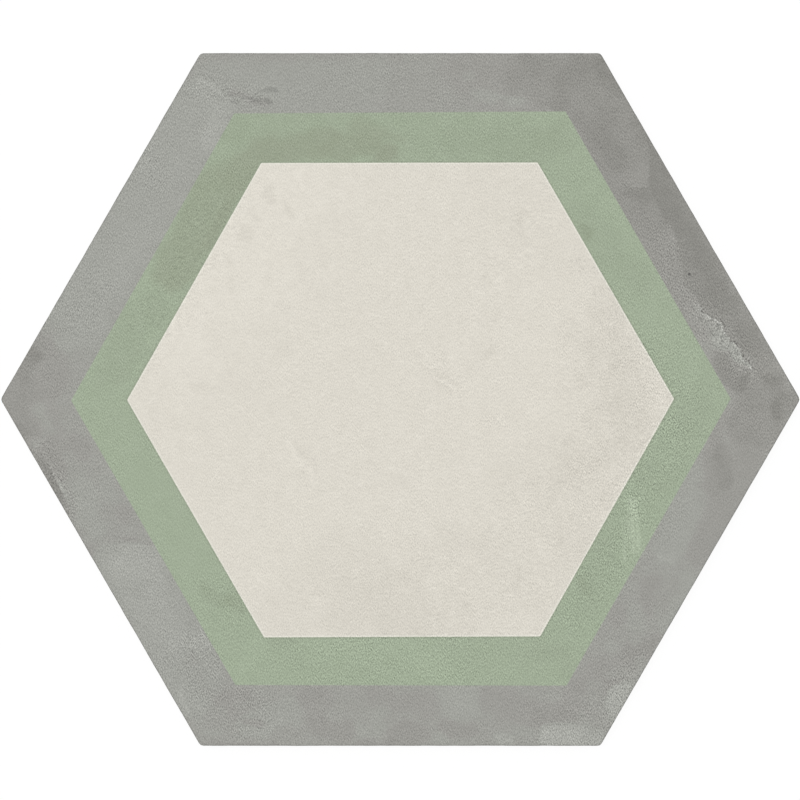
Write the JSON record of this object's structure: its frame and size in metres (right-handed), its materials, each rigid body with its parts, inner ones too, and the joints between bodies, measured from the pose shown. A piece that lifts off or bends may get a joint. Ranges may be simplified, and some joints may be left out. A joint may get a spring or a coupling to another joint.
{
  "type": "hexagon floor tile",
  "caption": "Flat hexagonal stoneware floor tile with a rounded face edge, a printed border of nested hexagons and a back keyed for adhesive by a honeycomb of shallow pockets.",
  "frame": {"origin": "centre of the back, in the plane that the tile rests on", "axes": "+Z out of the printed face, +X through one corner, +Y square to one side"},
  "size_m": [0.249, 0.216, 0.009],
  "materials": {
    "stoneware": "matte"
  },
  "bodies": {
    "root": {"hexagon_tile": "stoneware"}
  },
  "joints": []
}
